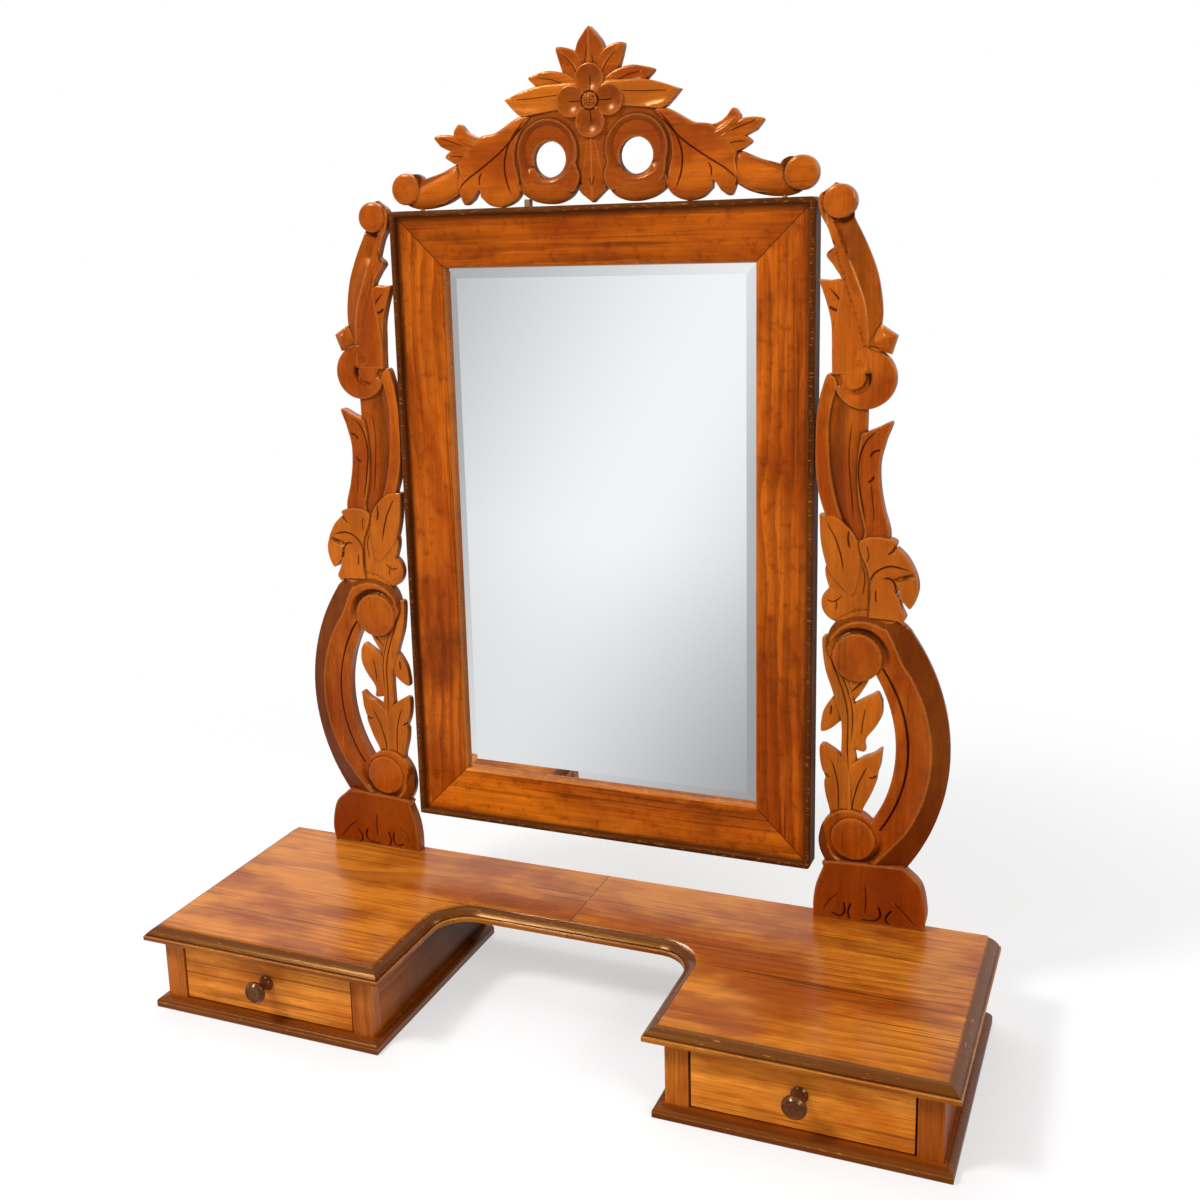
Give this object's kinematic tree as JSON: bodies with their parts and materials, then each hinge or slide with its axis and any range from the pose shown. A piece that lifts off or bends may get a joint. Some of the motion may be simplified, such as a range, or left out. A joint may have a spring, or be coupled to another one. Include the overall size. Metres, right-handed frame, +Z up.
{
  "type": "vanity mirror with drawers",
  "caption": "Dressing table mirror that tilts between carved supports with a carved crest, on a low base with a drawer in each wing.",
  "frame": {"origin": "on the floor, under the middle of the object's width and depth at rest", "axes": "+Z up, +X to the right seen from the front, the front looks along -Y"},
  "size_m": [0.9, 0.319, 1.062],
  "materials": {
    "varnished_wood": "gloss varnish, worn",
    "dark_wood": "dark gloss varnish",
    "turned_wood": "dark polished",
    "inner_wood": "bare, dry",
    "mirror": "silvered, bevelled",
    "steel": "plain",
    "leather": "matte"
  },
  "bodies": {
    "base": {"top_left": "varnished_wood", "top_right": "varnished_wood", "seam_batten": "inner_wood", "back_rail": "inner_wood", "left_bottom_board": "varnished_wood", "left_outer_side": "varnished_wood", "left_inner_side": "varnished_wood", "left_back_panel": "inner_wood", "left_outer_stile": "varnished_wood", "left_inner_stile": "varnished_wood", "left_drawer_guides": "inner_wood", "right_bottom_board": "varnished_wood", "right_outer_side": "varnished_wood", "right_inner_side": "varnished_wood", "right_back_panel": "inner_wood", "right_outer_stile": "varnished_wood", "right_inner_stile": "varnished_wood", "right_drawer_guides": "inner_wood", "left_support": "varnished_wood", "right_support": "varnished_wood", "support_screws": "steel"},
    "left_drawer": {"left_drawer_front": "varnished_wood", "left_drawer_outer_side": "inner_wood", "left_drawer_inner_side": "inner_wood", "left_drawer_back": "inner_wood", "left_drawer_bottom": "inner_wood", "left_drawer_knob": "turned_wood"},
    "right_drawer": {"right_drawer_front": "varnished_wood", "right_drawer_outer_side": "inner_wood", "right_drawer_inner_side": "inner_wood", "right_drawer_back": "inner_wood", "right_drawer_bottom": "inner_wood", "right_drawer_knob": "turned_wood"},
    "mirror": {"frame_left_stile": "varnished_wood", "frame_right_stile": "varnished_wood", "frame_top_rail": "varnished_wood", "frame_bottom_rail": "varnished_wood", "edge_left": "dark_wood", "edge_right": "dark_wood", "edge_top": "dark_wood", "edge_bottom": "dark_wood", "mirror_glass": "mirror", "back_board": "inner_wood", "back_board_pins": "steel", "pivot_pins": "steel", "pivot_washers": "leather", "crest": "varnished_wood", "crest_dowels": "inner_wood", "crest_block": "inner_wood"}
  },
  "joints": [
    {"name": "mirror_tilt", "type": "hinge", "parent": "base", "child": "mirror", "pos_m": [0, 0.14575, 0.62], "axis": [1, 0, 0], "range_deg": [-30, 30]},
    {"name": "left_drawer_slide", "type": "slide", "parent": "base", "child": "left_drawer", "axis": [0, -1, 0], "range_m": [0, 0.19]},
    {"name": "right_drawer_slide", "type": "slide", "parent": "base", "child": "right_drawer", "axis": [0, -1, 0], "range_m": [0, 0.19]}
  ]
}
